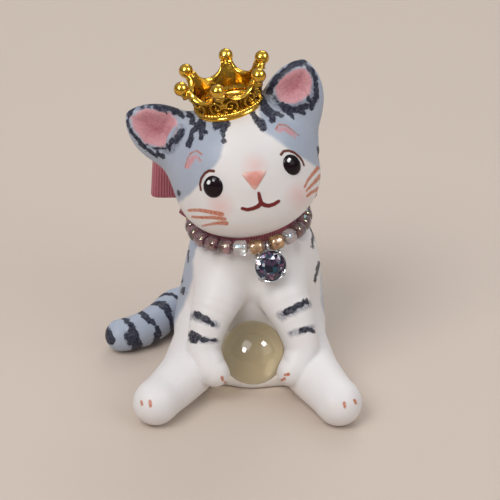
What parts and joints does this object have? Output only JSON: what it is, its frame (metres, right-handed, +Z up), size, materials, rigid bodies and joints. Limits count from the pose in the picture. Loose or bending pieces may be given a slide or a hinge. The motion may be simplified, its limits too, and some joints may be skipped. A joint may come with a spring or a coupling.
{
  "type": "cat figurine",
  "caption": "Seated hand-made clay cat with painted tabby marks, crown, bead necklace with pendant and a ribbon bow, holding a clear glass ball.",
  "frame": {"origin": "centre of the flat underside of the torso, on the ground", "axes": "+Z up, the cat faces -Y, +X is the cat's own left"},
  "size_m": [0.0396, 0.0373, 0.0522],
  "materials": {
    "painted_clay": "matt white modelling clay, hand painted",
    "nose_clay": "matt pink clay",
    "eye_gloss": "gloss black",
    "peg_wire": "plain wire",
    "gold_metal": "polished gold plate",
    "crystal_glass": "clear polished",
    "ribbon": "grosgrain",
    "thread": "twisted thread",
    "bead_plum": "lustred",
    "bead_clear": "clear",
    "bead_gold": "gold lined",
    "silver_metal": "polished silver plate",
    "stone_glass": "faceted, foil backed"
  },
  "bodies": {
    "figure": {"torso": "painted_clay", "head": "painted_clay", "ear_left": "painted_clay", "ear_right": "painted_clay", "foreleg_left": "painted_clay", "foreleg_right": "painted_clay", "hind_leg_left": "painted_clay", "hind_leg_right": "painted_clay", "tail": "painted_clay", "nose": "nose_clay", "eye_left": "eye_gloss", "eye_right": "eye_gloss", "neck_peg": "peg_wire", "crown": "gold_metal", "crystal_ball": "crystal_glass", "ribbon_band": "ribbon", "ribbon_knot": "ribbon", "bow_loop_left": "ribbon", "bow_loop_right": "ribbon", "ribbon_tail_left": "ribbon", "ribbon_tail_right": "ribbon"},
    "necklace": {"necklace_thread": "thread", "bead_01": "bead_gold", "bead_02": "bead_clear", "bead_03": "bead_plum", "bead_04": "bead_plum", "bead_05": "bead_plum", "bead_06": "bead_plum", "bead_07": "bead_plum", "bead_08": "bead_gold", "bead_09": "bead_clear", "bead_10": "bead_plum", "bead_11": "bead_plum", "bead_12": "bead_plum", "bead_13": "bead_plum", "bead_14": "bead_plum", "bead_15": "bead_clear", "bead_16": "bead_gold", "bead_17": "bead_plum", "bead_18": "bead_plum", "bead_19": "bead_plum", "bead_20": "bead_plum", "bead_21": "bead_plum", "bead_22": "bead_clear", "bead_23": "bead_gold"},
    "pendant": {"pendant_bail": "silver_metal", "pendant_setting": "silver_metal", "pendant_stone": "stone_glass"}
  },
  "joints": [
    {"name": "necklace_turn", "type": "hinge", "parent": "figure", "child": "necklace", "pos_m": [-0.0002, -0.001, 0.025], "axis": [-0.0872, 0, 0.9962], "range_deg": [-15, 15]},
    {"name": "pendant_swing", "type": "hinge", "parent": "necklace", "child": "pendant", "pos_m": [0.00251, -0.00937, 0.02524], "axis": [-0.9474, -0.309, -0.0829], "range_deg": [0, 60]}
  ]
}
